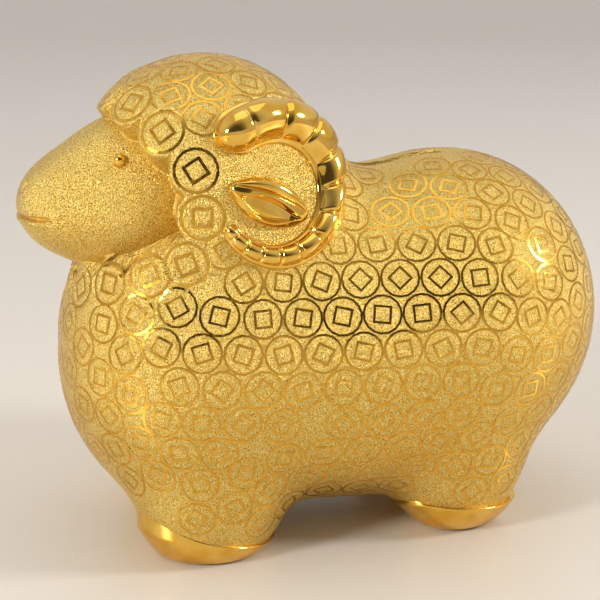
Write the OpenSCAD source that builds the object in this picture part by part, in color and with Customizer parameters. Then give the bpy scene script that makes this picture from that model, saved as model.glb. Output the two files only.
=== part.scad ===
// Ram coin bank: a slip-cast hollow body with the face, horns, ears, eyes and hooves
// luted on, a coin slot along the back and a rubber stopper in the belly.
// The nose points to -Y, the ram's left side is +X and the hooves stand on z = 0.

/* [Bank] */
// Width across the fleece
bank_w = 119; // [100:1:143]
// Length from the nose to the rump
bank_l = 217; // [181:1:260]
// Height to the top of the head
bank_h = 178; // [149:1:213]
// Thickness of the cast wall
wall = 4; // [3.3:0.1:4.8]
// Height of the front hooves at the middle of the leg
front_hoof_h = 11.5; // [9.6:0.1:13.8]
// Height of the rear hooves at the middle of the leg
rear_hoof_h = 13; // [10.9:0.1:15.6]
// How far a hoof stands proud of its leg
hoof_proud = 0.8; // [0.5:0.1:1]
// Diameter of an eye
eye_d = 4.4; // [3.7:0.1:5.2]

/* [Coin slot] */
// Length of the slot
slot_l = 42; // [35:0.5:50]
// Width of the slot
slot_w = 5; // [4.2:0.1:6]

/* [Stopper] */
// Diameter of the hole in the belly
hole_d = 32; // [27:0.5:35]
// Radial gap between the stopper's neck and the hole
neck_gap = 0.08; // [0.04:0.01:0.1]
// Width of the stopper's flange beyond the hole
flange_lip = 3.5; // [3:0.1:4.2]
// Thickness of the flange
flange_t = 1.8; // [1.5:0.1:2.1]
// Radial gap between the flange and its recess
flange_gap = 0.5; // [0.4:0.1:0.7]
// How far the neck stands past the seat inside the bank
neck_past = 3; // [2.5:0.1:3.6]
// Number of ribs around the neck
ribs = 3; // [2:1:4]
// Height of the finger bar under the flange
bar_h = 4; // [3.3:0.1:4.8]

/* [Horns] */
// Radius of the curl around the ear
curl_r = 19.5; // [18:0.5:21]
// How much farther out the root starts
root_out = 6; // [5:0.5:7]
// Radius of a horn at its root
horn_root_r = 9.4; // [7.9:0.1:10.4]
// Radius of a horn at its tip
horn_tip_r = 2.4; // [2:0.1:2.9]
// Number of growth rings along a horn
growth_rings = 10; // [8:1:12]

/* [Ears] */
// Length of an ear
ear_l = 30; // [25:0.5:32]
// Width of an ear
ear_w = 14.5; // [12.5:0.5:16]
// How far an ear stands off the fleece
ear_t = 3.4; // [2.9:0.1:4]

/* [Hidden] */

frosted = "#d9b65c";
polished = "#e3b23a";
rubber = "#e9e4d8";

bank = [bank_w, bank_l, bank_h];
function share(v) = [for (i = [0:2]) v[i] * bank[i]];

// The bank is modelled as soft masses. Each has a centre and half sizes, both as
// shares of the bank's width, length and height.
chest = [share([0, -0.216, 0.368]), share([0.475, 0.228, 0.316])];
belly = [share([0, 0.032, 0.367]), share([0.47, 0.27, 0.317])];
rump = [share([0, 0.236, 0.44]), share([0.486, 0.264, 0.34])];
neck = [share([0, -0.154, 0.598]), share([0.34, 0.19, 0.247])];
hood = [share([0, -0.192, 0.767]), share([0.357, 0.198, 0.229])];
front_leg = [share([0.228, -0.207, 0.137]), share([0.197, 0.125, 0.178])];
rear_leg = [share([0.213, 0.226, 0.175]), share([0.193, 0.122, 0.197])];
cheek = [share([0, -0.293, 0.72]), share([0.252, 0.137, 0.171])];
muzzle = [share([0, -0.423, 0.708]), share([0.169, 0.071, 0.079])];
trunk = [chest, belly, rump, neck, hood];
trunk_flow = 9; // how far the masses flow into one another, in mm
leg_flow = 5;
face_flow = 8;

// Places on the bank
body_core = share([0, -0.003, 0.42]);
face_core = share([0, -0.35, 0.7]);
slot_y = 0.124 * bank_l;
eye_yz = [-0.339 * bank_l, 0.818 * bank_h];
ear_yz = [-0.121 * bank_l, 0.748 * bank_h];
curl_yz = [-0.108 * bank_l, 0.758 * bank_h];
ear_tilt = 24; // the back end hangs lower
root_turn = 138; // the curl runs from here, over the top, to the tip
tip_turn = -156;
horn_flat = 0.8; // height of a horn's section against its width

// Each foot is an oval seen from above: its centre and half sizes as shares of the
// bank, the height of its seam and the angle at which the seam rises towards the toe
front_foot = [share([0.228, -0.218, 0]), share([0.18, 0.118, 0]), front_hoof_h, 18];
rear_foot = [share([0.213, 0.226, 0]), share([0.18, 0.114, 0]), rear_hoof_h, 8];

// The face shows through an oval opening across the front of the hood
opening_yz = [-0.4 * bank_l, 0.764 * bank_h];
opening_half = [0.134 * bank_l, 0.146 * bank_h];

// Stopper seat
hole_r = hole_d / 2;
neck_r = hole_r - neck_gap;
flange_r = hole_r + flange_lip;
recess_r = flange_r + flange_gap;
collar_r = recess_r + wall;
seat_z = 0.081 * bank_h; // the flange bears up on this
stopper_y = 0.009 * bank_l;
far = bank_l + bank_h; // longer than anything in the bank

// Distance from p to the skin of one mass, negative inside
function to_mass(p, mass) =
    let (q = [for (i = [0:2]) (p[i] - mass[0][i]) / mass[1][i]],
         slope = [for (i = [0:2]) q[i] / mass[1][i]])
    norm(q) * (norm(q) - 1) / max(norm(slope), 1e-6);

// One soft distance from several: the masses run together over about flow mm
function melt(gaps, flow) = -flow * ln([for (g = gaps) exp(-g / flow)] * [for (g = gaps) 1]);

fleece = function (p)
    let (side = [abs(p.x), p.y, p.z])
    melt([melt([for (mass = trunk) to_mass(p, mass)], trunk_flow),
        to_mass(side, front_leg), to_mass(side, rear_leg)], leg_flow);
head = function (p) melt([to_mass(p, cheek), to_mass(p, muzzle)], face_flow);

// How far along the ray from o towards d the skin lies, once it is moved in by depth
function reach(skin, o, d, depth, near = 0, end = 0.8 * bank_l, halvings = 14) =
    let (mid = (near + end) / 2)
    halvings == 0 ? mid
    : skin(o + d * mid) < -depth
        ? reach(skin, o, d, depth, mid, end, halvings - 1)
        : reach(skin, o, d, depth, near, mid, halvings - 1);

// Point of a skin on the left side, straight out from [y, z] in the middle plane
function on_side(skin, yz) =
    let (o = [0, yz[0], yz[1]])
    o + [reach(skin, o, [1, 0, 0], 0), 0, 0];

function unit(v) = v / norm(v);

// Outward normal of a skin at p
function outward(skin, p, step = 0.2) =
    unit([for (axis = [[step, 0, 0], [0, step, 0], [0, 0, step]]) skin(p + axis) - skin(p - axis)]);

// Closed mesh of a skin seen from the core: rays around the z axis and down it
module skin_solid(skin, core, depth, around, down) {
    ray = function (u, v) [sin(v) * cos(u), sin(v) * sin(u), cos(v)];
    point = function (d) core + d * reach(skin, core, d, depth);
    rings = [for (i = [1:down - 1], j = [0:around - 1]) point(ray(360 * j / around, 180 * i / down))];
    top = len(rings);
    last = (down - 2) * around;
    polyhedron(
        concat(rings, [point([0, 0, 1]), point([0, 0, -1])]),
        concat(
            [for (i = [0:down - 3], j = [0:around - 1])
                let (a = i * around + j, b = i * around + (j + 1) % around)
                each [[a, b, b + around], [a, b + around, a + around]]],
            [for (j = [0:around - 1]) [top, (j + 1) % around, j]],
            [for (j = [0:around - 1]) [top + 1, last + j, last + (j + 1) % around]]));
}

// Closed tube through rings of points that all have the same count
module tube(rings) {
    n = len(rings[0]);
    count = len(rings);
    polyhedron(
        [for (ring = rings) each ring],
        concat(
            [[for (j = [0:n - 1]) j]],
            [for (i = [0:count - 2], j = [0:n - 1])
                let (a = i * n + j, b = i * n + (j + 1) % n)
                each [[a, a + n, b], [b, a + n, b + n]]],
            [[for (j = [n - 1:-1:0]) (count - 1) * n + j]]));
}

// Resizing by nothing turns what is under it into a single mesh
module one_mesh() {
    resize([0, 0, 0]) children();
}

module fleece_solid() {
    skin_solid(fleece, body_core, 0, 72, 44);
}

module head_solid() {
    skin_solid(head, face_core, 0, 44, 28);
}

// Space around a foot, up to the sloping seam where its hoof ends, or larger by grow
module foot_room(foot, side, grow = 0) {
    half = [foot[1].x + grow, foot[1].y + grow, 1];
    translate([side * foot[0].x, foot[0].y, 0]) intersection() {
        scale(half) translate([0, 0, -far / 2]) cylinder(r = 1, h = far, $fn = 64);
        translate([0, 0, foot[2] + grow]) rotate([-foot[3], 0, 0])
            translate([-far / 2, -far / 2, -far]) cube([far, far, far]);
    }
}

module feet_room(grow = 0) {
    for (side = [-1, 1], foot = [front_foot, rear_foot]) foot_room(foot, side, grow);
}

module face_opening(grow = 0) {
    translate([-far / 2, opening_yz[0], opening_yz[1]])
        scale([1, opening_half[0] + grow, opening_half[1] + grow])
            rotate([0, 90, 0]) cylinder(r = 1, h = far, $fn = 64);
}

module cavity() {
    difference() {
        skin_solid(fleece, body_core, wall, 44, 28);
        face_opening(wall);
        feet_room(wall);
        translate([0, stopper_y, 0]) cylinder(r = collar_r, h = seat_z + wall, $fn = 48);
    }
}

module coin_slot() {
    run = (slot_l - slot_w) / 2;
    translate([-slot_w / 2, slot_y - run, bank_h / 2]) cube([slot_w, 2 * run, bank_h]);
    for (end = [-1, 1])
        translate([0, slot_y + end * run, bank_h / 2]) cylinder(d = slot_w, h = bank_h, $fn = 32);
}

module stopper_hole() {
    translate([0, stopper_y, 0]) {
        cylinder(r = hole_r, h = seat_z + 2 * wall, $fn = 64);
        translate([0, 0, -wall]) cylinder(r = recess_r, h = seat_z + wall, $fn = 64);
    }
}

module body_shell() {
    color(frosted) difference() {
        one_mesh() difference() {
            fleece_solid();
            face_opening();
            cavity();
            head_solid();
            feet_room();
        }
        coin_slot();
        stopper_hole();
    }
}

module eye_ball() {
    translate(on_side(head, eye_yz)) sphere(d = eye_d, $fn = 32);
}

module face() {
    color(frosted) difference() {
        one_mesh() difference() {
            head_solid();
            skin_solid(head, face_core, wall, 32, 20);
            cavity();
        }
        eye_ball();
        mirror([1, 0, 0]) eye_ball();
    }
}

// Centre of the curl at t, from 0 at the root to 1 at the tip, lying on the fleece
function curl(t) =
    let (turn = root_turn + t * (tip_turn - root_turn),
         r = curl_r + root_out * pow(max(0, 1 - t), 1.5))
    on_side(fleece, curl_yz + r * [cos(turn), sin(turn)]);

// Radius of the horn at t: an even taper, rounded ends and a notch at each growth ring
function horn_r(t) =
    let (from_end = min(t / 0.07, (1 - t) / 0.05, 1),
         notch = 0.07 * (1 - abs(sin(180 * growth_rings * t))))
    (horn_root_r + t * (horn_tip_r - horn_root_r)) * max(0.12, sqrt(from_end * (2 - from_end))) * (1 - notch);

// Puts a left-hand piece on the given side and cuts it flush with the fleece
module on_fleece(side) {
    color(polished) one_mesh() difference() {
        mirror([side < 0 ? 1 : 0, 0, 0]) children();
        fleece_solid();
    }
}

module horn(side) {
    steps = 4 * growth_rings;
    sides = 16;
    rings = [for (i = [0:steps])
        let (t = i / steps,
             p = curl(t),
             along = unit(curl(t + 0.01) - curl(t - 0.01)),
             across = unit(cross(along, outward(fleece, p))),
             up = cross(across, along),
             r = horn_r(t))
        [for (j = [0:sides - 1])
            p + up * horn_flat * r * cos(360 * j / sides) + across * r * sin(360 * j / sides)]];
    on_fleece(side) tube(rings);
}

// Leaf shape that lies on the fleece, with a cup pressed into it
module ear(side) {
    half_l = ear_l / 2;
    half_w = ear_w / 2;
    bow_r = (half_l * half_l + half_w * half_w) / (2 * half_w);
    sunk = 6; // reaches under the curved fleece
    p = on_side(fleece, ear_yz);
    out = outward(fleece, p);
    back = unit(cross(cross(out, [0, cos(ear_tilt), -sin(ear_tilt)]), out));
    up = cross(out, back);
    frame = [for (i = [0:2]) [back[i], up[i], out[i], p[i]]];
    on_fleece(side) multmatrix(frame) difference() {
        intersection_for (s = [-1, 1])
            translate([0, s * (bow_r - half_w), -sunk])
                cylinder(r = bow_r, h = sunk + ear_t, $fn = 96);
        translate([0, -0.12 * ear_w, ear_t])
            scale([0.36 * ear_l, 0.27 * ear_w, 0.6 * ear_t]) sphere(1, $fn = 32);
    }
}

module eye() {
    color(polished) eye_ball();
}

module hoof(foot, side) {
    color(polished) difference() {
        one_mesh() intersection() {
            skin_solid(fleece, body_core, -hoof_proud, 72, 44);
            foot_room(foot, side);
        }
        translate([-far / 2, -far / 2, -far]) cube([far, far, far]);
    }
}

module stopper() {
    grip = seat_z + wall + neck_past; // top of the neck
    rib_h = 1.2;
    groove = 0.8;
    pitch = (grip - seat_z - 2) / ribs;
    bar_l = 1.1 * hole_r;
    bar_t = 0.16 * hole_r;
    color(rubber) translate([0, stopper_y, 0]) {
        rotate_extrude($fn = 64) difference() {
            union() {
                translate([0, seat_z - flange_t]) square([flange_r, flange_t]);
                translate([0, seat_z]) square([neck_r - groove, grip - seat_z]);
                translate([0, seat_z]) square([neck_r, 1]);
                for (i = [1:ribs])
                    translate([0, seat_z + i * pitch]) square([neck_r, rib_h]);
            }
            translate([-1, grip - 2]) square([neck_r - 3, 3]);
        }
        translate([-bar_l / 2, -bar_t / 2, seat_z - flange_t - bar_h]) cube([bar_l, bar_t, bar_h + 0.5]);
    }
}

body_shell();
face();
horn(1);  // left_horn
horn(-1);  // right_horn
ear(1);  // left_ear
ear(-1);  // right_ear
eye();  // left_eye
mirror([1, 0, 0]) eye();  // right_eye
hoof(front_foot, 1);  // front_left_hoof
hoof(front_foot, -1);  // front_right_hoof
hoof(rear_foot, 1);  // rear_left_hoof
hoof(rear_foot, -1);  // rear_right_hoof
stopper();
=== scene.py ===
import math

import bpy
import numpy as np
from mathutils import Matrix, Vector


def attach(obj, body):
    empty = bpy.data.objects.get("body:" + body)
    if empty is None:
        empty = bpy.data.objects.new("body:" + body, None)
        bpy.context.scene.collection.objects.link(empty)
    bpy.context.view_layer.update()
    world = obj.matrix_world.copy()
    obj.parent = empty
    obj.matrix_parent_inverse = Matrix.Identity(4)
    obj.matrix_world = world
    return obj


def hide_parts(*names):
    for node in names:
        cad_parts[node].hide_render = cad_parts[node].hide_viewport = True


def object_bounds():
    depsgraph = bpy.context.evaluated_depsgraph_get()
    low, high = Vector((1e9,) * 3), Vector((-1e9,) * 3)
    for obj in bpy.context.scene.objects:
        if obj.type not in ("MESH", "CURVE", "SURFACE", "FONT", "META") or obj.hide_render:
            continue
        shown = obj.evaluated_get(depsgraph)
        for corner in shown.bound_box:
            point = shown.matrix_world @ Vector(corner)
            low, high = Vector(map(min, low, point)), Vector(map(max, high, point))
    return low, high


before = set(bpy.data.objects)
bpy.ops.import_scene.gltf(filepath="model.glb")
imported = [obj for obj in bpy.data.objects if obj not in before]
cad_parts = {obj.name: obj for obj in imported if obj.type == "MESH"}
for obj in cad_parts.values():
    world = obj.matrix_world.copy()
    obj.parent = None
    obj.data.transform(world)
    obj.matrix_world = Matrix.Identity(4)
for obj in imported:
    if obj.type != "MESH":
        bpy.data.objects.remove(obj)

# A ram coin bank in gold plated ceramic: frosted fleece and face, mirror bright coins,
# horns, ears, eyes and hooves. Shapes are worked out in millimetres and stored in metres.
# The nose points to -Y, the ram's left side is +X and the hooves stand on z = 0.

cadLow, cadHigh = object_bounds()
bankSize = np.round((np.array(cadHigh) - np.array(cadLow)) * 1000)
print("frame loaded, bank is", bankSize, "mm")


def share(*v):
    return np.array(v) * bankSize


# each mass is a centre and half sizes, as shares of the bank's width, length and height
masses = {
    "chest": (share(0, -0.216, 0.368), share(0.475, 0.228, 0.316)),
    "belly": (share(0, 0.032, 0.367), share(0.47, 0.27, 0.317)),
    "rump": (share(0, 0.236, 0.44), share(0.486, 0.264, 0.34)),
    "neck": (share(0, -0.154, 0.598), share(0.34, 0.19, 0.247)),
    "hood": (share(0, -0.192, 0.767), share(0.357, 0.198, 0.229)),
    "frontLeg": (share(0.228, -0.207, 0.137), share(0.197, 0.125, 0.178)),
    "rearLeg": (share(0.213, 0.226, 0.175), share(0.193, 0.122, 0.197)),
    "cheek": (share(0, -0.293, 0.72), share(0.252, 0.137, 0.171)),
    "muzzle": (share(0, -0.423, 0.708), share(0.169, 0.071, 0.079)),
}
trunkFlow = 9.0  # how far masses run into one another
legFlow = 5.0
faceFlow = 8.0
bodyCore = share(0, -0.003, 0.42)
wallThickness = 4.0
skinInset = 0.23  # keeps the finest skin and its coins inside the bank's size


def toMass(p, mass):
    # scaled distance to an ellipsoid: |q| (|q| - 1) over the length of q divided by the half sizes
    q = (p - mass[0]) / mass[1]
    size = np.linalg.norm(q, axis=-1)
    slope = np.linalg.norm(q / mass[1], axis=-1)
    return size * (size - 1) / np.maximum(slope, 1e-6)


def melt(gaps, flow):
    # soft minimum: minus flow times the log of the summed exponentials
    gaps = np.stack(gaps)
    least = gaps.min(axis=0)
    return least - flow * np.log(np.exp((least - gaps) / flow).sum(axis=0))


def mirrored(p):
    side = p.copy()
    side[..., 0] = np.abs(side[..., 0])
    return side


def fleece(p):
    side = mirrored(p)
    trunk = melt([toMass(p, masses[n]) for n in ("chest", "belly", "rump", "neck", "hood")], trunkFlow)
    legs = [toMass(side, masses["frontLeg"]), toMass(side, masses["rearLeg"])]
    return melt([trunk] + legs, legFlow) + skinInset


def headSkin(p):
    return melt([toMass(p, masses["cheek"]), toMass(p, masses["muzzle"])], faceFlow) + skinInset


def smooth(x, a, b):
    # rises softly from 0 at a to 1 at b
    t = np.clip((x - a) / (b - a), 0, 1)
    return t * t * (3 - 2 * t)


def reach(skin, start, rays, near, far, halvings=20):
    # distance along every ray to the skin, by halving between near and far
    low = np.full(rays.shape[:-1], float(near))
    high = np.full(rays.shape[:-1], float(far))
    for _ in range(halvings):
        mid = (low + high) / 2
        inside = skin(start + rays * mid[..., None]) < 0
        low = np.where(inside, mid, low)
        high = np.where(inside, high, mid)
    return (low + high) / 2


def outward(skin, p, step=0.15):
    # unit normal: central differences of the skin's distance along the three axes
    n = np.stack([skin(p + step * e) - skin(p - step * e) for e in np.eye(3)], axis=-1)
    return n / np.maximum(np.linalg.norm(n, axis=-1, keepdims=True), 1e-9)


def settle(skin, p, rounds=4):
    # walks every point along the skin's slope until it lies on the skin
    for _ in range(rounds):
        p = p - outward(skin, p) * skin(p)[..., None]
    return p


def settleAlong(skin, p, heading, rounds=4, step=0.2):
    # slides every point along its own heading until it lies on the skin
    for _ in range(rounds):
        slope = (skin(p + step * heading) - skin(p - step * heading)) / (2 * step)
        p = p - heading * (skin(p) / np.maximum(slope, 0.3))[..., None]
    return p


def onSide(skin, yz):
    # the place on the left side straight out from y, z in the middle plane
    start = np.array([0.0, yz[0], yz[1]])
    out = np.array([1.0, 0.0, 0.0])
    return start + out * reach(skin, start, out[None], 0, bankSize[0])[0]


def unit(v):
    return v / np.linalg.norm(v, axis=-1, keepdims=True)


def addMesh(name, points, faces, material, softAngle=None):
    # points in mm; smooth all over, or with a crease wherever faces meet past softAngle degrees
    mesh = bpy.data.meshes.new(name)
    mesh.from_pydata((points.reshape(-1, 3) / 1000).tolist(), [], faces)
    mesh.polygons.foreach_set("use_smooth", np.ones(len(mesh.polygons), dtype=bool))
    if softAngle is not None:
        mesh.set_sharp_from_angle(angle=math.radians(softAngle))
    mesh.validate()
    mesh.update()
    piece = bpy.data.objects.new(name, mesh)
    bpy.context.scene.collection.objects.link(piece)
    mesh.materials.append(material)
    return piece


def gridFaces(rows, cols, offset=0, wrapRows=False):
    # four-sided faces between neighbouring rows, each row closed round on itself
    i = np.arange(rows if wrapRows else rows - 1)[:, None]
    j = np.arange(cols)[None]
    nextI = (i + 1) % rows
    nextJ = (j + 1) % cols
    quads = np.stack([i * cols + j, nextI * cols + j, nextI * cols + nextJ, i * cols + nextJ], axis=-1)
    return (quads.reshape(-1, 4) + offset).tolist()


def capFaces(rows, cols, firstPole, lastPole):
    # fans that close the first and last rows onto their poles
    j = np.arange(cols)
    k = (j + 1) % cols
    top = np.stack([np.full(cols, firstPole), j, k], axis=-1)
    base = (rows - 1) * cols
    bottom = np.stack([np.full(cols, lastPole), base + k, base + j], axis=-1)
    return top.tolist() + bottom.tolist()


def closedGrid(rings, firstPole, lastPole, flip=False):
    # rings of points from pole to pole, as one closed skin
    rows, cols = rings.shape[:2]
    points = np.concatenate([rings.reshape(-1, 3), [firstPole, lastPole]])
    faces = gridFaces(rows, cols) + capFaces(rows, cols, rows * cols, rows * cols + 1)
    if flip:
        faces = [f[::-1] for f in faces]
    return points, faces


def roundRays(around, down):
    # unit rays from the top to the bottom, row by row, without the two poles
    turn = np.arange(around) / around * 2 * np.pi
    tip = (np.arange(1, down) / down * np.pi)[:, None]
    x = np.sin(tip) * np.cos(turn)
    y = np.sin(tip) * np.sin(turn)
    z = np.cos(tip) * np.ones_like(turn)
    return np.stack([x, y, z], axis=-1)


def cutAway(piece, cutter):
    # an exact cut, applied so the piece is plain mesh again
    hole = piece.modifiers.new("cut", "BOOLEAN")
    hole.operation = "DIFFERENCE"
    hole.solver = "MANIFOLD"
    hole.object = cutter
    bpy.context.view_layer.objects.active = piece
    with bpy.context.temp_override(object=piece, active_object=piece, selected_objects=[piece]):
        bpy.ops.object.modifier_apply(modifier=hole.name)
    bpy.data.objects.remove(cutter, do_unlink=True)


def srgb(code):
    # hex colour turned linear
    parts = [int(code[i:i + 2], 16) / 255 for i in (1, 3, 5)]
    line = [c / 12.92 if c <= 0.04045 else ((c + 0.055) / 1.055) ** 2.4 for c in parts]
    return (*line, 1.0)


def addNode(tree, kind, settings=None, **links):
    # Adds a node. Links are sockets to read or plain values, by input name with underscores for
    # spaces, or by input number after an i.
    node = tree.nodes.new(kind)
    for key, value in (settings or {}).items():
        setattr(node, key, value)
    for key, value in links.items():
        numbered = key[0] == "i" and key[1:].isdigit()
        socket = node.inputs[int(key[1:]) if numbered else key.replace("_", " ")]
        if isinstance(value, bpy.types.NodeSocket):
            tree.links.new(value, socket)
        else:
            socket.default_value = value
    return node


def newMaterial(name):
    material = bpy.data.materials.new(name)
    material.use_nodes = True
    tree = material.node_tree
    tree.nodes.clear()
    shader = addNode(tree, "ShaderNodeBsdfPrincipled")
    addNode(tree, "ShaderNodeOutputMaterial", Surface=shader.outputs[0])
    place = addNode(tree, "ShaderNodeTexCoord").outputs["Object"]
    return material, tree, shader, place


def colourSteps(tree, value, stops):
    # blends sRGB hex colours along a value
    ramp = addNode(tree, "ShaderNodeValToRGB", Fac=value)
    points = ramp.color_ramp.elements
    while len(points) < len(stops):
        points.new(0.5)
    for point, (at, code) in zip(points, stops):
        point.position = at
        point.color = srgb(code)
    return ramp.outputs[0]


frostedLook = {
    "grainWidth": 0.42,  # mm across a pit of the grit blasted glaze, a little coarse so it shows
    "grainDepth": 0.28,
    "pitShare": 0.8,  # size of the sharper pits against the grain
    "cloudWidth": 45,
    "cloudStrength": 0.25,
    "cloudWarm": "#f4dca0",
    "cloudPale": "#fffdf2",
    "roughness": 0.33,
    "light": "#fdeaa6",
    "main": "#e8c65c",
    "deep": "#c49736",
}


def frostedGold():
    # Gold plated over a grit blasted glaze: a bright metal whose small pits scatter the
    # light, so highlights spread wide and single grains glint.
    material, tree, shader, place = newMaterial("FrostedGoldPlating")
    look = frostedLook
    perMetre = 1000 / look["grainWidth"]
    grain = addNode(tree, "ShaderNodeTexNoise", Vector=place, Scale=perMetre, Detail=1.5, Roughness=0.6)
    pits = addNode(tree, "ShaderNodeTexVoronoi", Vector=place, Scale=perMetre * look["pitShare"],
                   Randomness=1.0)
    cloud = addNode(tree, "ShaderNodeTexNoise", Vector=place, Scale=1000 / look["cloudWidth"],
                    Detail=2.0)
    heightMix = addNode(tree, "ShaderNodeMath", {"operation": "ADD"}, i0=grain.outputs[0],
                        i1=pits.outputs["Distance"])
    bump = addNode(tree, "ShaderNodeBump", Strength=1.0, Distance=look["grainDepth"] / 1000,
                   Height=heightMix.outputs[0])
    stops = [(0.36, look["deep"]), (0.5, look["main"]), (0.64, look["light"])]
    speckle = colourSteps(tree, grain.outputs[0], stops)
    tint = colourSteps(tree, cloud.outputs[0], [(0.3, look["cloudWarm"]), (0.7, look["cloudPale"])])
    warm = addNode(tree, "ShaderNodeMix", {"data_type": "RGBA", "blend_type": "MULTIPLY"},
                   i0=look["cloudStrength"], i6=speckle, i7=tint)
    rough = addNode(tree, "ShaderNodeMapRange", Value=grain.outputs[0], i1=0.3, i2=0.7,
                    i3=look["roughness"] - 0.08, i4=look["roughness"] + 0.08)
    tree.links.new(warm.outputs[2], shader.inputs["Base Color"])
    tree.links.new(rough.outputs[0], shader.inputs["Roughness"])
    tree.links.new(bump.outputs[0], shader.inputs["Normal"])
    shader.inputs["Metallic"].default_value = 1.0
    return material


polishedLook = {
    "roughness": 0.07,
    "waveWidth": 7.0,  # mm, slow ripples of the glaze under the gold
    "waveDepth": 0.035,
    "smudgeWidth": 2.2,
    "main": "#f2c865",
    "rich": "#e6b445",
}


def polishedGold():
    # Bright gold fired on a smooth glaze: a mirror with slow ripples and a faint change of tone.
    material, tree, shader, place = newMaterial("PolishedGoldLustre")
    look = polishedLook
    wave = 1000 / look["waveWidth"]
    ripple = addNode(tree, "ShaderNodeTexNoise", Vector=place, Scale=wave, Detail=1.0)
    smudge = addNode(tree, "ShaderNodeTexNoise", Vector=place, Scale=1000 / look["smudgeWidth"],
                     Detail=3.0)
    bump = addNode(tree, "ShaderNodeBump", Strength=0.6, Distance=look["waveDepth"] / 1000,
                   Height=ripple.outputs[0])
    tone = colourSteps(tree, ripple.outputs[0], [(0.35, look["rich"]), (0.65, look["main"])])
    rough = addNode(tree, "ShaderNodeMapRange", Value=smudge.outputs[0], i1=0.35, i2=0.75,
                    i3=look["roughness"], i4=look["roughness"] + 0.05)
    tree.links.new(tone, shader.inputs["Base Color"])
    tree.links.new(rough.outputs[0], shader.inputs["Roughness"])
    tree.links.new(bump.outputs[0], shader.inputs["Normal"])
    shader.inputs["Metallic"].default_value = 1.0
    return material


lineLook = {
    "roughness": 0.14,
    "wearWidth": 1.6,  # mm between spots where the gold took less well
    "wearDepth": 0.02,
    "main": "#eab94c",
    "rich": "#d9a238",
}


def lineGold():
    # Bright gold drawn by a transfer over the frosted skin, a little uneven where it took less well.
    material, tree, shader, place = newMaterial("TransferGoldLines")
    look = lineLook
    worn = addNode(tree, "ShaderNodeTexNoise", Vector=place, Scale=1000 / look["wearWidth"], Detail=2.0)
    tone = colourSteps(tree, worn.outputs[0], [(0.35, look["rich"]), (0.65, look["main"])])
    rough = addNode(tree, "ShaderNodeMapRange", Value=worn.outputs[0], i1=0.4, i2=0.8,
                    i3=look["roughness"], i4=look["roughness"] + 0.16)
    bump = addNode(tree, "ShaderNodeBump", Strength=0.5, Distance=look["wearDepth"] / 1000,
                   Height=worn.outputs[0])
    tree.links.new(tone, shader.inputs["Base Color"])
    tree.links.new(rough.outputs[0], shader.inputs["Roughness"])
    tree.links.new(bump.outputs[0], shader.inputs["Normal"])
    shader.inputs["Metallic"].default_value = 1.0
    return material


rubberLook = {
    "main": "#e7e1d2",
    "shade": "#d6cdb8",
    "roughness": 0.55,
    "mottleWidth": 3.5,  # mm
    "toolMarkWidth": 0.5,
    "toolMarkDepth": 0.03,
}


def mouldedRubber():
    # Moulded ivory silicone rubber: dull, a little see-through at its edges, fine tool marks.
    material, tree, shader, place = newMaterial("MouldedIvoryRubber")
    look = rubberLook
    mottle = addNode(tree, "ShaderNodeTexNoise", Vector=place, Scale=1000 / look["mottleWidth"],
                     Detail=3.0)
    skin = addNode(tree, "ShaderNodeTexNoise", Vector=place, Scale=1000 / look["toolMarkWidth"],
                   Detail=1.0)
    bump = addNode(tree, "ShaderNodeBump", Strength=0.4, Distance=look["toolMarkDepth"] / 1000,
                   Height=skin.outputs[0])
    rough = addNode(tree, "ShaderNodeMapRange", Value=mottle.outputs[0], i3=look["roughness"] - 0.08,
                    i4=look["roughness"] + 0.1)
    tree.links.new(colourSteps(tree, mottle.outputs[0], [(0.3, look["shade"]), (0.7, look["main"])]),
                   shader.inputs["Base Color"])
    tree.links.new(rough.outputs[0], shader.inputs["Roughness"])
    tree.links.new(bump.outputs[0], shader.inputs["Normal"])
    shader.inputs["Subsurface Weight"].default_value = 0.12
    shader.inputs["Subsurface Radius"].default_value = (0.002, 0.0016, 0.0012)
    return material


frosted = frostedGold()
polished = polishedGold()
drawnGold = lineGold()
rubber = mouldedRubber()
print("materials made")


horn = {
    "curlRadius": 19.5,
    "rootOut": 6.0,  # how much farther out the root starts
    "rootTurn": 138.0,  # degrees; the curl runs from here over the top to the tip
    "tipTurn": -156.0,
    "rootHalf": 8.1,  # half width at the root, at its tip and how much it swells between
    "tipHalf": 2.6,
    "swell": 2.4,
    "rootHeight": 1.12,  # height against half width, at the root and at the tip
    "tipHeight": 0.8,
    "segments": 12,
    "firstSegment": 1.7,  # the root segment is longer than the rest
    "groove": 1.1,  # depth between segments
    "grooveWidth": 0.75,
    "rootRound": 0.065,  # share of the length over which each end rounds off
    "tipRound": 0.035,
    "bulge": 0.13,  # how far a segment swells, as a share of its height
    "bandOuter": 0.20,  # share of the half width taken by the plain band along the outer edge
    "bandInner": 0.13,
    "bandHeight": 1.7,
}
curlCentre = np.array([-0.108 * bankSize[1], 0.758 * bankSize[2]])


def curl(t, aside=0.0):
    # spiral about the curl's centre in y and z, laid on the side of the fleece; aside is mm outward
    turn = np.radians(horn["rootTurn"] + t * (horn["tipTurn"] - horn["rootTurn"]))
    r = horn["curlRadius"] + horn["rootOut"] * np.maximum(0, 1 - t) ** 1.5 + aside
    y = curlCentre[0] + r * np.cos(turn)
    z = curlCentre[1] + r * np.sin(turn)
    start = np.stack([0 * t, y, z], axis=-1)
    out = np.zeros_like(start)
    out[..., 0] = 1
    return start + out * reach(fleece, start, out, 0, bankSize[0])[..., None]


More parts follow.
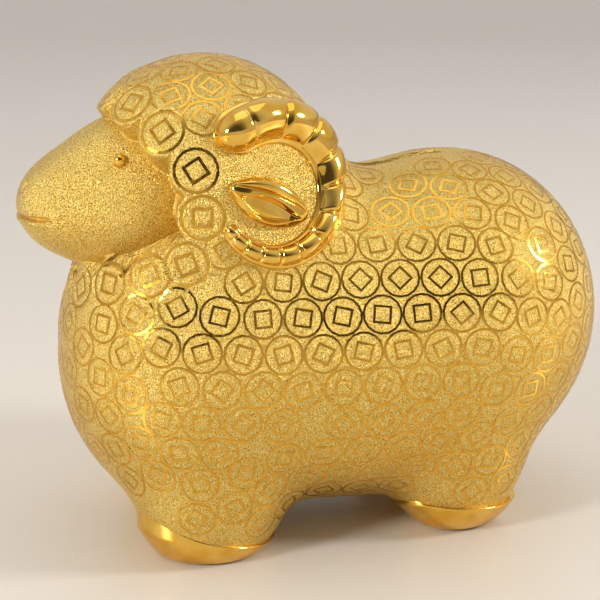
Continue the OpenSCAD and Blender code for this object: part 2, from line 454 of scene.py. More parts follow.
hoodEdge = {
    "discRadius": 9.3,  # each border coin sits on a disc this wide
    "height": 0.9,
    "stepFrom": -0.9,  # mm across the scalloped edge, where the hood drops to the face
    "stepTo": 1.5,
    "stepDepth": 26.0,  # more than enough to reach the face
    "fadeFrom": 6.0,  # mm behind the row of coins
    "fadeTo": 16.0,
    "crease": 0.9,  # how softly the hood meets the face
    "lineDepth": 0.4,
    "discFlow": 0.5,  # how softly neighbouring discs run together
    "rowSoft": 1.5,  # mm either side of the row over which the step comes in
    "tuckFrom": 2.0,  # mm behind the row, where the fleece is cut back under the face
    "tuckTo": 10.0,
}
coin = {
    "radius": 7.0,
    "line": 0.8,  # width of the drawn lines
    "square": 6.4,
    "proud": 0.07,  # the gold stands this far off the fleece
    "sunk": 0.3,
    "pitch": 14.6,  # coins nearly touch
    "closest": 12.7,
    "seeds": 620,
    "spareSeeds": 1500,
    "spareFit": 0.93,  # share of the closest pitch at which an added coin still fits
    "overlap": 1.3,  # how much nearer than the closest pitch a coin may end up and stay
    "clearOfRow": 1.0,  # mm left free behind the border coins, round the slot and above a hoof
    "clearOfSlot": 1.2,
    "clearOfHoof": 7.6,
    "clearOfCurl": 24.0,  # mm from the curl's centre
    "lowestFacing": -0.82,  # none where the skin faces farther down than this
}
borderCoin = {
    "radius": 7.8,
    "line": 1.1,
    "square": 7.2,
    "proud": 0.07,
    "sunk": 0.3,
}
# one side of the row, from the top of the forehead round to the throat
borderRow = np.array([
    [0, -73.5, 166.8], [18.5, -68.1, 164], [33.1, -59.9, 156.4], [41.9, -50.5, 144.7],
    [45.2, -49.1, 129.5], [44.9, -54.7, 113.6], [39.9, -66.6, 109.2], [29.6, -79.1, 104.2],
    [15.7, -87.8, 99.6], [0, -92.5, 96],
], dtype=float)


def placeBorder():
    # the listed side row, settled on the fleece and mirrored to the right
    row = settle(fleece, borderRow)
    return np.concatenate([row, row[1:-1][::-1] * [-1, 1, 1]])


borderCoins = placeBorder()
borderSpin = np.random.default_rng(3).uniform(0.1, 0.9, len(borderCoins)) * np.pi / 2
headCore = np.array([0, -0.138 * bankSize[1], 0.758 * bankSize[2]])


def coinFrame(normal, spin):
    # two directions across a coin, turned by spin about its normal
    first = unit(np.cross(normal, [0.31, 0.2, 0.93]))
    second = np.cross(normal, first)
    c = np.cos(spin)[..., None]
    s = np.sin(spin)[..., None]
    return first * c + second * s, second * c - first * s


borderNormal = outward(fleece, borderCoins)
borderFirst, borderSecond = coinFrame(borderNormal, borderSpin)


def aroundHead(p):
    # polar place about the line from the head's core to the nose: turn, tilt and distance
    q = p - headCore
    turn = np.arctan2(q[..., 0], q[..., 2])
    tilt = np.arctan2(np.hypot(q[..., 0], q[..., 2]), -q[..., 1])
    return turn, tilt, np.linalg.norm(q, axis=-1)


borderTurn, borderTilt, _ = aroundHead(borderCoins)
borderOrder = np.argsort(borderTurn)


def rowTilt(turn):
    return np.interp(turn, borderTurn[borderOrder], borderTilt[borderOrder], period=2 * np.pi)


def behindRow(p):
    # mm from the row of border coins, positive towards the tail
    turn, tilt, away = aroundHead(p)
    return (tilt - rowTilt(turn)) * away


def hoodRelief(p):
    # Height added to the fleece near the face. Discs under the border coins stand proud and fade out
    # behind; in front of them the hood drops to the face in a rounded, scalloped step. Rings and
    # squares are grooves, by the distance across each coin's own two directions.
    q = p[..., None, :] - borderCoins
    depth = (q * borderNormal).sum(axis=-1)
    across = np.sqrt(np.maximum((q * q).sum(axis=-1) - depth ** 2, 0))
    gaps = np.hypot(across, np.maximum(np.abs(depth) - hoodEdge["stepDepth"], 0))
    nearest = gaps.argmin(axis=-1)
    e = melt(np.moveaxis(gaps, -1, 0), hoodEdge["discFlow"]) - hoodEdge["discRadius"]
    behind = behindRow(p)
    fade = 1 - smooth(behind, hoodEdge["fadeFrom"], hoodEdge["fadeTo"])
    front = 1 - smooth(behind, -hoodEdge["rowSoft"], hoodEdge["rowSoft"])
    drop = smooth(e, hoodEdge["stepFrom"], hoodEdge["stepTo"]) ** 1.5
    q = p - borderCoins[nearest]
    x = np.abs((q * borderFirst[nearest]).sum(axis=-1))
    y = np.abs((q * borderSecond[nearest]).sum(axis=-1))
    half = borderCoin["line"] / 2
    ringGap = np.abs(np.hypot(x, y) - borderCoin["radius"] + half)
    squareGap = np.abs(np.maximum(x, y) - borderCoin["square"] / 2 + half)
    groove = 1 - smooth(np.minimum(ringGap, squareGap), 0.7 * half, 1.7 * half)
    raised = hoodEdge["height"] * fade - hoodEdge["stepDepth"] * drop * front
    return raised - hoodEdge["lineDepth"] * groove


def bodySkin(p):
    # the fleece, cut back out of sight under the face and its hood edge
    tuck = 1 - smooth(behindRow(p), hoodEdge["tuckFrom"], hoodEdge["tuckTo"])
    return fleece(p) + hoodEdge["stepDepth"] * tuck


def raisedFleece(p):
    return fleece(p) - hoodRelief(p)


slot = {
    "length": 42.0,
    "width": 5.0,
    "y": 0.124 * bankSize[1],
    "mouth": 1.1,  # radius of the rounded mouth
}
plug = {
    "holeRadius": 16.0,
    "recessRadius": 20.0,
    "collarRadius": 24.0,
    "seat": 0.081 * bankSize[2],
    "y": 0.009 * bankSize[1],
    "softEdge": 0.4,
    "innerFloor": 15.0,  # the hollow goes no lower than this
}


def slotCutter():
    # a stadium outline carried up through the back, opening by a quarter round where it meets the skin
    a = np.linspace(0, 2 * np.pi, 96, endpoint=False)
    run = (slot["length"] - slot["width"]) / 2
    end = np.where(np.sin(a) >= 0, run, -run)

    def outline(grow):
        r = slot["width"] / 2 + grow
        return np.stack([r * np.cos(a), slot["y"] + end + r * np.sin(a)], axis=-1)

    def ring(grow, sink):
        flat = outline(grow)
        base = np.concatenate([flat, np.full((len(a), 1), bankSize[2] / 2)], axis=-1)
        up = np.zeros_like(base)
        up[:, 2] = 1
        top = base + up * reach(fleece, base, up, 0, bankSize[2])[:, None]
        return top - up * sink

    m = slot["mouth"]
    rounds = [(m * (1 - math.cos(q)), m * (1 - math.sin(q))) for q in np.linspace(0, math.pi / 2, 6)]
    rings = [ring(0, 30)] + [ring(grow, sink) for grow, sink in rounds] + [ring(m, -5)]
    rings = np.stack(rings)
    points, faces = closedGrid(rings, rings[0].mean(axis=0), rings[-1].mean(axis=0), flip=True)
    return addMesh("slotCutter", points, faces, frosted)


def holeCutter():
    # the stopper's stepped hole, a profile turned about an upright axis
    seat = plug["seat"]
    soft = plug["softEdge"]
    wide = plug["recessRadius"]
    narrow = plug["holeRadius"]
    profile = [(wide, -5), (wide, seat - soft), (wide - soft, seat)]
    profile += [(narrow + soft, seat), (narrow, seat + soft), (narrow, seat + 20)]
    a = np.linspace(0, 2 * np.pi, 96, endpoint=False)
    rings = []
    for r, z in profile:
        rings.append(np.stack([r * np.cos(a), plug["y"] + r * np.sin(a), 0 * a + z], axis=-1))
    rings = np.stack(rings)
    points, faces = closedGrid(rings, rings[0].mean(axis=0), rings[-1].mean(axis=0), flip=True)
    return addMesh("holeCutter", points, faces, frosted)


def cavitySkin(p):
    # the casting's inner face: the fleece moved in by the wall, above the feet and clear of the collar
    wide = plug["collarRadius"] - np.hypot(p[..., 0], p[..., 1] - plug["y"])
    high = plug["seat"] + wallThickness - p[..., 2]
    low = plug["innerFloor"] - p[..., 2]
    return np.maximum(np.maximum(bodySkin(p) + wallThickness, low), np.minimum(wide, high))


def makeFleece():
    # radius from the body's core along every ray, with a slot, a stepped hole and a hollow inside
    rays = roundRays(300, 220)
    poles = np.array([[0, 0, 1.0], [0, 0, -1.0]])
    outer = bodyCore + rays * reach(bodySkin, bodyCore, rays, 10, 180)[..., None]
    tips = bodyCore + poles * reach(bodySkin, bodyCore, poles, 10, 180)[..., None]
    outer[..., 2] = np.maximum(outer[..., 2], 0.4)
    outerPoints, outerFaces = closedGrid(outer, tips[0], tips[1])
    rays = roundRays(96, 64)
    inner = bodyCore + rays * reach(cavitySkin, bodyCore, rays, 10, 180)[..., None]
    tips = bodyCore + poles * reach(cavitySkin, bodyCore, poles, 10, 180)[..., None]
    innerPoints, innerFaces = closedGrid(inner, tips[0], tips[1])
    shift = len(outerPoints)
    faces = outerFaces + [[k + shift for k in f[::-1]] for f in innerFaces]
    body = addMesh("fleece", np.concatenate([outerPoints, innerPoints]), faces, frosted)
    cutAway(body, slotCutter())
    cutAway(body, holeCutter())
    body.data.set_sharp_from_angle(angle=math.radians(50))
    return body


fleeceBody = makeFleece()
print("fleece made,", len(fleeceBody.data.polygons), "faces")


faceLook = {
    "eyeDimple": 0.7,
    "eyeDimpleRadius": 4.0,
    "nostril": (6.7, -105.0, 135.0),
    "nostrilRadius": 2.0,
    "nostrilDepth": 1.8,
    "mouthHeight": 124.0,
    "mouthRise": 1.5,  # the corners stand this much higher
    "mouthHalf": 21.5,
    "mouthDepth": 1.9,
    "mouthWidth": 0.7,
    "wall": 3.0,
}
eyeDiameter = 4.4
eyePlace = onSide(headSkin, (-0.339 * bankSize[1], 0.818 * bankSize[2]))


def faceMarks(p):
    # depth of the eye dimples, nostrils and mouth
    side = mirrored(p)
    eyeGap = np.linalg.norm(side - eyePlace, axis=-1)
    dimple = faceLook["eyeDimple"] * (1 - smooth(eyeGap, 1.2, faceLook["eyeDimpleRadius"]))
    nostrilGap = np.linalg.norm((side - faceLook["nostril"]) / [1.25, 1, 1], axis=-1)
    nostril = faceLook["nostrilDepth"] * (1 - smooth(nostrilGap, 0, faceLook["nostrilRadius"]))
    along = side[..., 0] / faceLook["mouthHalf"]
    mouthLine = faceLook["mouthHeight"] + faceLook["mouthRise"] * along ** 2
    off = side[..., 2] - mouthLine
    ends = (1 - smooth(along, 0.8, 1.05)) * smooth(-p[..., 1], 88, 92)
    mouth = faceLook["mouthDepth"] * np.exp(-(off / faceLook["mouthWidth"]) ** 2) * ends
    lowerLip = 0.6 * np.exp(-((off + 1.9) / 1.3) ** 2) * ends
    return dimple + nostril + mouth - lowerLip


def frontSkin(p):
    # face and hood edge melted together over a small crease, with the marks cut in
    return melt([raisedFleece(p), headSkin(p) + faceMarks(p)], hoodEdge["crease"])


def makeFace():
    # rays from the head's core, from the nose back past the row of coins, then a wall inside
    around = 512
    turn = np.arange(around) / around * 2 * np.pi
    edge = rowTilt(turn)
    steps = [np.linspace(0.02, 0.32, 70, endpoint=False), np.linspace(0.32, 0.62, 18, endpoint=False),
             np.linspace(0.62, 1.12, 60, endpoint=False), np.linspace(1.12, 1.3, 12, endpoint=False)]
    inFront = np.concatenate(steps)
    back = np.linspace(0, 1, 12)
    tilt = np.concatenate([inFront[:, None] * edge, edge * 1.3 + back[:, None] * 0.14])
    sink = np.concatenate([np.zeros(len(inFront)), 2.5 * smooth(back, 0.55, 1.0)])[:, None]
    rays = np.stack([np.sin(tilt) * np.sin(turn), -np.cos(tilt), np.sin(tilt) * np.cos(turn)], axis=-1)
    skin = headCore + rays * (reach(frontSkin, headCore, rays, 8, 120) - sink)[..., None]
    nose = np.array([[0, -1.0, 0]])
    outerTip = headCore + nose[0] * reach(frontSkin, headCore, nose, 8, 120)[0]
    rows = np.linspace(len(skin) - 1, 6, 12).astype(int)
    inner = skin[rows] - rays[rows] * faceLook["wall"]
    innerTip = outerTip - nose[0] * faceLook["wall"]
    rings = np.concatenate([skin, inner])
    points, faces = closedGrid(rings, outerTip, innerTip, flip=True)
    return addMesh("face_and_hood_edge", points, faces, frosted)


facePiece = makeFace()
print("face made,", len(facePiece.data.polygons), "faces")


def nearestGap(free, fixed):
    # distance from every free place to its nearest neighbour of either kind
    far = np.linalg.norm(free[:, None] - np.concatenate([free, fixed])[None], axis=-1)
    np.fill_diagonal(far[:, :len(free)], 1e6)
    return far.min(axis=1)


def pushApart(free, fixed, rounds):
    # neighbours closer than the pitch push one another along the fleece
    for _ in range(rounds):
        gap = free[:, None] - np.concatenate([free, fixed])[None]
        far = np.linalg.norm(gap, axis=-1) + 1e-6
        np.fill_diagonal(far[:, :len(free)], 1e6)
        push = np.clip(coin["pitch"] - far, 0, None)[..., None] * gap / far[..., None]
        free = settle(fleece, free + 0.3 * push.sum(axis=1), 2)
    return free


def coinPlaces():
    # seeded scatter over the fleece; the most crowded coins drop out until the rest nearly touch
    dice = np.random.default_rng(11)
    ray = unit(dice.normal(size=(coin["seeds"], 3)))
    free = bodyCore + ray * reach(fleece, bodyCore, ray, 10, 180)[:, None]
    free = pushApart(free, borderCoins, 60)
    for crowding in np.linspace(0.70, 1.0, 9) * coin["closest"]:
        order = np.argsort(nearestGap(free, borderCoins))
        dropped = set()
        for k in order:
            others = np.delete(free, list(dropped | {k}), axis=0)
            if np.linalg.norm(np.concatenate([others, borderCoins]) - free[k], axis=1).min() < crowding:
                dropped.add(k)
        free = np.delete(free, list(dropped), axis=0)
        free = pushApart(free, borderCoins, 30)
    for _ in range(2):  # then coins are added wherever one still fits
        ray = unit(dice.normal(size=(coin["spareSeeds"], 3)))
        for spot in bodyCore + ray * reach(fleece, bodyCore, ray, 10, 180)[:, None]:
            taken = np.concatenate([free, borderCoins])
            if np.linalg.norm(taken - spot, axis=1).min() > coin["spareFit"] * coin["closest"]:
                free = np.concatenate([free, [spot]])
        free = pushApart(free, borderCoins, 40)
    keep = nearestGap(free, borderCoins) > coin["closest"] - coin["overlap"]
    free = settle(fleece, free[keep], 4)
    return free[allowed(free)]


# each foot is an oval seen from above, with a seam that climbs towards the toe
frontFoot = {
    "centre": share(0.228, -0.218, 0),
    "half": share(0.18, 0.118, 0),
    "height": 11.0,
    "rise": 0.28,  # slope of the seam towards the toe, and how it curls up there
    "curve": 0.0075,
    "toe": 1.7,  # how far the gold bulges at the toe and at the heel
    "heel": 0.3,
}
rearFoot = {
    "centre": share(0.213, 0.226, 0),
    "half": share(0.18, 0.114, 0),
    "height": 13.0,
    "rise": 0.11,
    "curve": 0.0,
    "toe": 0.2,
    "heel": 1.6,
}


def hoofSeam(p, foot):
    # height of a hoof's top edge: a gentle slope plus a curl at the toe
    t = np.clip(foot["centre"][1] - p[..., 1], -foot["half"][1], foot["half"][1])
    return foot["height"] + foot["rise"] * t + foot["curve"] * np.maximum(t, 0) ** 2


def allowed(p):
    # clear of the face, the curl of the horns, the slot, the hooves and the flat of the belly
    side = mirrored(p)
    behind = behindRow(p) > coin["clearOfRow"]
    polar = np.hypot(side[:, 1] - curlCentre[0], side[:, 2] - curlCentre[1])
    outsideCurl = (polar > coin["clearOfCurl"]) | (side[:, 0] < 20)
    run = np.clip(p[:, 1] - slot["y"], -0.5 * slot["length"], 0.5 * slot["length"])
    slotGap = np.hypot(p[:, 0], p[:, 1] - slot["y"] - run)
    slotRoom = slot["width"] / 2 + coin["radius"] + coin["clearOfSlot"]
    clearOfSlot = (slotGap > slotRoom) | (p[:, 2] < bankSize[2] / 2)
    legTop = np.where(p[:, 1] < 0, hoofSeam(side, frontFoot), hoofSeam(side, rearFoot))
    aboveHooves = p[:, 2] > legTop + coin["clearOfHoof"]
    notUnder = outward(fleece, p)[:, 2] > coin["lowestFacing"]
    return behind & outsideCurl & clearOfSlot & aboveHooves & notUnder


def ribbon(centre, normal, spin, outer, inner, outline, look):
    # closed three-sided band along an outline: a flat bright face between two rails, a keel below
    first, second = coinFrame(normal, spin)
    direction = outline[None, :, :1] * first[:, None] + outline[None, :, 1:] * second[:, None]
    heading = np.broadcast_to(normal[:, None], direction.shape)
    middle = (outer + inner) / 2
    rails = []
    for r, lift in ((outer, look["proud"]), (inner, look["proud"]), (middle, -look["sunk"])):
        flat = settleAlong(raisedFleece, centre[:, None] + direction * r, heading)
        rails.append(flat + heading * lift)
    return np.stack(rails, axis=1)  # coins, rails, corners, xyz


def ribbonFaces(count, corners, offset):
    base = np.array(gridFaces(3, corners, wrapRows=True))[:, ::-1]
    step = 3 * corners
    return (base[None] + np.arange(count)[:, None, None] * step + offset).reshape(-1, 4).tolist()


def makeCoins(name, centres, spin, look):
    # each coin is a round line and a square line turned by its spin
    normal = outward(fleece, centres)
    a = np.arange(16) * np.pi / 8
    circle = np.stack([np.cos(a), np.sin(a)], axis=-1)
    # the square takes four corners and four middles of the circle's points
    square = circle[::2] / np.abs(circle[::2]).max(axis=1, keepdims=True)
    r, half, line = look["radius"], look["square"] / 2, look["line"]
    ringLine = ribbon(centres, normal, spin, r, r - line, circle, look)
    squareLine = ribbon(centres, normal, spin, half, half - line, square, look)
    points = np.concatenate([ringLine.reshape(-1, 3), squareLine.reshape(-1, 3)])
    faces = ribbonFaces(len(centres), len(circle), 0)
    faces += ribbonFaces(len(centres), len(square), ringLine.size // 3)
    return addMesh(name, points, faces, drawnGold, softAngle=30)


scattered = coinPlaces()
scatteredSpin = np.random.default_rng(5).uniform(0, 2 * np.pi, len(scattered))
coinLines = makeCoins("coin_lines", scattered, scatteredSpin, coin)
borderLines = makeCoins("border_coin_lines", borderCoins, borderSpin, borderCoin)
print("coins drawn:", len(scattered), "on the fleece and", len(borderCoins), "round the face")


def mirroredCopy(piece, name):
    # the same shape on the right side, with its faces turned to stay outward
    mesh = piece.data.copy()
    mesh.name = name
    count = len(mesh.vertices)
    xyz = np.empty(count * 3)
    mesh.vertices.foreach_get("co", xyz)
    xyz = xyz.reshape(-1, 3) * [-1, 1, 1]
    mesh.vertices.foreach_set("co", xyz.ravel())
    mesh.flip_normals()
    mesh.update()
    twin = bpy.data.objects.new(name, mesh)
    bpy.context.scene.collection.objects.link(twin)
    return twin


def makeHorn():
    # A low arched section carried along the curl. Across it, from inner to outer edge: a plain band,
    # the arched body, a wider plain band. Grooves cross the body between swelling segments.
    rows, sides = 360, 96
    t = np.linspace(0, 1, rows)
    centre = curl(t)
    half = horn["rootHalf"] + t * (horn["tipHalf"] - horn["rootHalf"]) + horn["swell"] * t * (1 - t)
    fromEnd = np.minimum(t / horn["rootRound"], (1 - t) / horn["tipRound"])
    fromEnd = np.minimum(fromEnd, 1)
    ends = np.maximum(0.02, np.sqrt(fromEnd * (2 - fromEnd)))
    # segments shorten towards the tip, in step with the taper
    growth = np.cumsum(1 / half ** 0.8)
    count = horn["segments"] + horn["firstSegment"] - 1
    phase = (growth - growth[0]) / (growth[-1] - growth[0]) * count
    phase = np.maximum(phase - horn["firstSegment"] + 1, 0)
    within = np.abs(phase - np.round(phase))
    reachAlong = np.linalg.norm(np.diff(centre, axis=0), axis=1).sum() / horn["segments"]
    groove = np.exp(-(within * reachAlong / horn["grooveWidth"]) ** 2) * np.minimum(1, half / 5)
    groove = groove * (phase > 0.02)
    swell = horn["bulge"] * np.sin(np.minimum(within, 0.5) * np.pi) ** 0.7 * (phase > 0)
    a = np.arange(sides) / sides * 2 * np.pi
    s = np.sin(a)[None]  # -1 at the inner edge, 1 at the outer edge
    bodyFrom = -1 + horn["bandInner"]
    bodyTo = 1 - horn["bandOuter"]
    onBody = np.clip((2 * s - bodyFrom - bodyTo) / (bodyTo - bodyFrom), -1, 1)
    arch = (1 - onBody ** 2) ** 0.55
    height = half * (horn["rootHeight"] + t * (horn["tipHeight"] - horn["rootHeight"]))
    body = arch * (height * (1 + swell))[:, None] - (horn["groove"] * groove)[:, None] * arch ** 0.5
    bandHeight = np.minimum(horn["bandHeight"], 0.5 * height)
    band = bandHeight[:, None] * np.clip(1 - s ** 10, 0, 1) ** 0.5
    top = -melt([-body, -band], 0.12)
    rise = np.where(np.cos(a)[None] >= 0, top, 2.5 * np.cos(a)[None])
    # the outer half is drawn in where the hood leans over, so the horn keeps its width on the skin
    lean = np.where(s > 0, 0.3 + 0.7 * outward(fleece, centre)[:, :1], 1)
    foot = curl(t[:, None] + 0 * s, s * (half * ends)[:, None] * lean)
    rings = foot + outward(fleece, foot) * (rise * ends[:, None])[..., None]
    points, faces = closedGrid(rings, rings[0].mean(axis=0), rings[-1].mean(axis=0), flip=True)
    return addMesh("left_horn_bright", points, faces, polished)


leftHorn = makeHorn()
rightHorn = mirroredCopy(leftHorn, "right_horn_bright")
print("horns made")


ear = {
    "length": 30.5,
    "width": 15.5,
    "thick": 3.7,
    "tilt": 24.0,  # degrees, the back end hangs lower
    "pinch": 0.3,  # how much the leaf narrows to its ends
    "lidHeight": 0.55,
    "lidAt": 0.66,  # places across the ear run from -1 at the lower edge to 1 at the upper
    "lidWidth": 0.24,
    "grooveDepth": 1.1,
    "grooveAt": 0.36,
    "grooveWidth": 0.05,
    "cupDepth": 3.0,
    "cupAt": -0.33,
    "cupHalf": 0.52,
    "cupReach": 0.78,  # share of the half length
    "lowerDrop": 0.9,
}
earPlace = onSide(fleece, (-0.121 * bankSize[1], 0.748 * bankSize[2]))


def makeEar():
    # Leaf pointed at both ends, laid on the fleece. Across it, from the upper edge down: a thick
    # rounded lid, a narrow groove, a ridge, a deep lens-shaped cup and a thin lower rim.
    rows, cols = 110, 150
    out = outward(fleece, earPlace)
    tilt = math.radians(ear["tilt"])
    heading = np.array([0, math.cos(tilt), -math.sin(tilt)])
    back = unit(np.cross(np.cross(out, heading), out))
    upper = np.cross(back, out)
    upper = upper * np.sign(upper[2])
    a = np.arange(cols) / cols * 2 * np.pi
    r = (np.linspace(0, 1, rows + 1)[1:] ** 0.85)[:, None]
    u = r * np.cos(a)  # -1 to 1 along the leaf
    v = r * np.sin(a) * (1 - ear["pinch"] * np.abs(np.cos(a)) ** 2.2)
    widest = np.sqrt(np.clip(1 - u ** 2, 1e-4, 1)) * (1 - ear["pinch"] * np.abs(u) ** 2.2)
    q = np.clip(v / widest, -1, 1)  # -1 at the lower edge, 1 at the upper edge
    dome = np.sqrt(np.clip(1 - r ** 7, 0, 1)) * np.ones_like(u)
    lid = ear["lidHeight"] * np.exp(-((q - ear["lidAt"]) / ear["lidWidth"]) ** 2)
    groove = ear["grooveDepth"] * np.exp(-((q - ear["grooveAt"]) / ear["grooveWidth"]) ** 2)
    groove = groove * (1 - smooth(np.abs(u), 0.75, 0.97))
    narrow = np.clip(1 - (u / ear["cupReach"]) ** 2, 0, 1)  # the cup comes to a point at both ends
    lens = np.abs(q - ear["cupAt"]) / np.maximum(ear["cupHalf"] * narrow, 1e-3)
    cup = ear["cupDepth"] * (1 - smooth(lens, 0.62, 1.0)) * np.minimum(1, 2.2 * narrow)
    lower = ear["lowerDrop"] * smooth(-q, 0.45, 0.9)
    height = dome * (ear["thick"] + lid - groove - cup - lower)
    lengthwise = back * (u * ear["length"] / 2)[..., None]
    flat = earPlace + lengthwise + upper * (v * ear["width"] / 2)[..., None]
    heading = np.broadcast_to(out, flat.shape)
    rings = settleAlong(fleece, flat, heading)
    lifted = rings + outward(fleece, rings) * height[..., None]
    sunk = rings[-1:] - out * 1.5
    middle = settle(fleece, earPlace[None], 3)[0]
    rings = np.concatenate([lifted, sunk])
    points, faces = closedGrid(rings, lifted[0].mean(axis=0), middle - out * 3, flip=True)
    return addMesh("left_ear_bright", points, faces, polished)


leftEar = makeEar()
rightEar = mirroredCopy(leftEar, "right_ear_bright")
print("ears made")


def makeEye():
    # a small polished bead sitting in its dimple
    rays = roundRays(40, 24)
    r = eyeDiameter / 2
    rings = eyePlace + rays * r
    points, faces = closedGrid(rings, eyePlace + [0, 0, r], eyePlace - [0, 0, r])
    return addMesh("left_eye_bead", points, faces, polished)


leftEye = makeEye()
rightEye = mirroredCopy(leftEye, "right_eye_bead")
print("eyes made")


hoof = {
    "proud": 0.8,
    "sole": 1.8,  # radius of the edge round the sole
    "edge": 0.8,  # radius of the rolled top edge
    "lip": 4.0,  # how far the top turns in under the fleece
}


def makeHoof(name, foot):
    # Wraps the foot of a leg: a flat sole with a rounded edge, a side that follows the leg and a
    # rolled top edge.
    cols = 160
    a = np.arange(cols) / cols * 2 * np.pi
    wide, long = foot["half"][:2]
    limit = wide * long / np.hypot(long * np.cos(a), wide * np.sin(a))
    heading = np.stack([np.cos(a), np.sin(a), 0 * a], axis=-1)
    proud = hoof["proud"] + np.where(a > np.pi, foot["toe"], foot["heel"]) * np.abs(np.sin(a)) ** 3

    def ring(z, inset=0.0):
        start = np.stack([0 * a + foot["centre"][0], 0 * a + foot["centre"][1], z], axis=-1)
        skin = reach(lambda p: fleece(p) - proud, start, heading, 3, 60)
        return start + heading * (np.minimum(skin, limit) - inset)[:, None]

    seamTop = 0 * a + foot["height"]
    for _ in range(8):  # the seam's height depends on how far out the side is at that height
        seamTop = np.maximum(hoofSeam(ring(seamTop), foot), 5)
    rings = []
    for q in np.linspace(math.pi / 2, 0, 8):  # from under the sole, round its edge
        z = hoof["sole"] * (1 - math.sin(q))
        shape = ring(0 * a + max(z, 0.4), hoof["sole"] * (1 - math.sin(math.pi / 2 - q)))
        shape[:, 2] = z
        rings.append(shape)
    for q in np.linspace(0, 1, 24)[1:]:
        rings.append(ring(hoof["sole"] + q * (seamTop - hoof["edge"] - hoof["sole"])))
    for q in np.linspace(0, math.pi / 2, 7)[1:]:
        rings.append(ring(seamTop - hoof["edge"] * (1 - math.sin(q)), hoof["edge"] * (1 - math.cos(q))))
    rings.append(ring(seamTop, hoof["lip"]))
    rings = np.stack(rings)
    points, faces = closedGrid(rings, rings[0].mean(axis=0), rings[-1].mean(axis=0), flip=True)
    return addMesh(name, points, faces, polished)


frontLeft = makeHoof("front_left_hoof_bright", frontFoot)
rearLeft = makeHoof("rear_left_hoof_bright", rearFoot)
frontRight = mirroredCopy(frontLeft, "front_right_hoof_bright")
rearRight = mirroredCopy(rearLeft, "rear_right_hoof_bright")
print("hooves made")


pieces = [
    (fleeceBody, "frosted_gold", ("body_shell",)),
    (facePiece, "frosted_gold", ("face",)),
    (coinLines, "polished_gold", ()),
    (borderLines, "polished_gold", ()),
    (leftHorn, "polished_gold", ("left_horn",)),
    (rightHorn, "polished_gold", ("right_horn",)),
    (leftEar, "polished_gold", ("left_ear",)),
    (rightEar, "polished_gold", ("right_ear",)),
    (leftEye, "polished_gold", ("left_eye",)),
    (rightEye, "polished_gold", ("right_eye",)),
    (frontLeft, "polished_gold", ("front_left_hoof",)),
    (frontRight, "polished_gold", ("front_right_hoof",)),
    (rearLeft, "polished_gold", ("rear_left_hoof",)),
    (rearRight, "polished_gold", ("rear_right_hoof",)),
]
for piece, finish, nodes in pieces:
    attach(piece, "bank")
    if nodes:
        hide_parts(*nodes)
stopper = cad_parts["stopper"]
for k in range(len(stopper.material_slots)):
    stopper.material_slots[k].material = rubber
print("pieces ride on the bank")


room = {
    "flatRadius": 1.6,  # metres, where the floor starts to curl up
    "curlRadius": 0.5,
    "mottleWidth": 60,
    # near is painted shade on the floor by the bank, far is painted light towards the floor's far edge
    "near": "#e4ddd2",
    "far": "#f0ebe6",
    "wall": "#dad5d0",
    "ambient": 1.02,
    "dark": 0.10,  # share of the ambient light left behind the viewer
}


def makeFloor():
    # a flat round floor whose rim curls up a quarter turn into a backdrop on every side
    rows, cols = 60, 200
    curlUp = np.linspace(0, np.pi / 2, rows // 2 + 1)[1:]
    flat = np.linspace(0.02, room["flatRadius"], rows // 2)
    r = np.concatenate([flat, room["flatRadius"] + room["curlRadius"] * np.sin(curlUp)])[:, None]
    z = np.concatenate([0 * flat, room["curlRadius"] * (1 - np.cos(curlUp))])[:, None]
    a = np.arange(cols) / cols * 2 * np.pi
    rings = np.stack([r * np.cos(a), r * np.sin(a), z * np.ones(cols)], axis=-1) * 1000
    points = np.concatenate([rings.reshape(-1, 3), [[0, 0, 0]]])
    faces = gridFaces(rows, cols)
    j = np.arange(cols)
    faces += np.stack([np.full(cols, rows * cols), j, (j + 1) % cols], axis=-1).tolist()
    # a board whose colour carries painted shade and painted light: darker near the bank as painted
    # shade, paler towards its far edge as painted light; faintly mottled, with a soft gloss
    material, tree, shader, place = newMaterial("PaleGlossyBoard")
    fibre = addNode(tree, "ShaderNodeTexNoise", Vector=place, Scale=1000 / room["mottleWidth"],
                    Detail=3.0)
    mottled = addNode(tree, "ShaderNodeMapRange", Value=fibre.outputs[0], i3=-0.01, i4=0.01)
    away = addNode(tree, "ShaderNodeVectorMath", {"operation": "LENGTH"}, i0=place)
    tone = addNode(tree, "ShaderNodeMath", {"operation": "ADD"}, i0=mottled.outputs[0],
                   i1=away.outputs["Value"])
    tree.links.new(colourSteps(tree, tone.outputs[0], [(0.12, room["near"]), (0.9, room["far"])]),
                   shader.inputs["Base Color"])
    shader.inputs["Roughness"].default_value = 0.32
    shader.inputs["Specular IOR Level"].default_value = 0.5
    return addMesh("floor", points, faces, material)


floor = makeFloor()


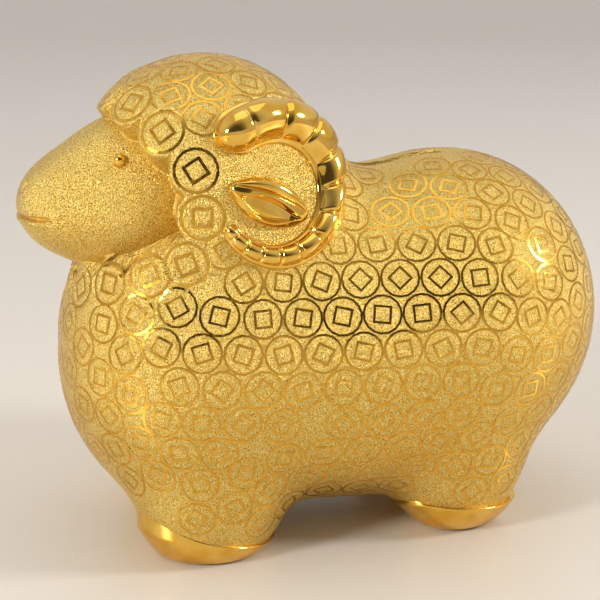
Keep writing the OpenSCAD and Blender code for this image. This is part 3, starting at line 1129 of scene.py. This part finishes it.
def softbox(name, place, target, width, height, watts):
    light = bpy.data.lights.new(name, "AREA")
    light.shape = "RECTANGLE"
    light.size = width
    light.size_y = height
    light.energy = watts
    lamp = bpy.data.objects.new(name, light)
    lamp.location = place
    lamp.rotation_mode = "QUATERNION"
    lamp.rotation_quaternion = (Vector(place) - Vector(target)).to_track_quat("Z", "Y")
    bpy.context.scene.collection.objects.link(lamp)


middle = (0, 0, 0.08)
softbox("noseSideLight", (0.45, -0.95, 0.5), middle, 0.2, 0.22, 6.6)
softbox("tailSideLight", (0.35, 1.05, 0.62), middle, 0.2, 0.22, 7.0)
softbox("topLight", (-0.1, 0.0, 1.2), middle, 0.7, 0.9, 1.5)


def makeRoom():
    # pale walls all round, with the dark end of the studio on the side away from the backdrop
    world = bpy.data.worlds.new("room")
    world.use_nodes = True
    bpy.context.scene.world = world
    tree = world.node_tree
    background = tree.nodes["Background"]
    heading = addNode(tree, "ShaderNodeTexCoord").outputs["Generated"]
    towards = addNode(tree, "ShaderNodeVectorMath", {"operation": "DOT_PRODUCT"}, i0=heading,
                      i1=Vector((0.9, -0.25, 0.1)).normalized())
    dim = addNode(tree, "ShaderNodeMapRange", {"interpolation_type": "SMOOTHSTEP"},
                  Value=towards.outputs["Value"], i1=0.25, i2=0.9,
                  i3=room["ambient"], i4=room["ambient"] * room["dark"])
    background.inputs[0].default_value = srgb(room["wall"])
    tree.links.new(dim.outputs[0], background.inputs[1])


makeRoom()
bpy.context.scene.view_settings.view_transform = "Standard"
viewpoint = {"place": (0.4865, -0.11895, 0.2407), "target": (0.0, -0.00565, 0.0842), "lens": 83.3}


def makeCamera():
    data = bpy.data.cameras.new("camera")
    data.sensor_width = 36
    data.lens = viewpoint["lens"]
    data.clip_start = 0.01
    camera = bpy.data.objects.new("camera", data)
    camera.location = viewpoint["place"]
    camera.rotation_mode = "QUATERNION"
    away = Vector(viewpoint["place"]) - Vector(viewpoint["target"])
    camera.rotation_quaternion = away.to_track_quat("Z", "Y")
    bpy.context.scene.collection.objects.link(camera)
    bpy.context.scene.camera = camera


makeCamera()
print("room, lights and camera ready")
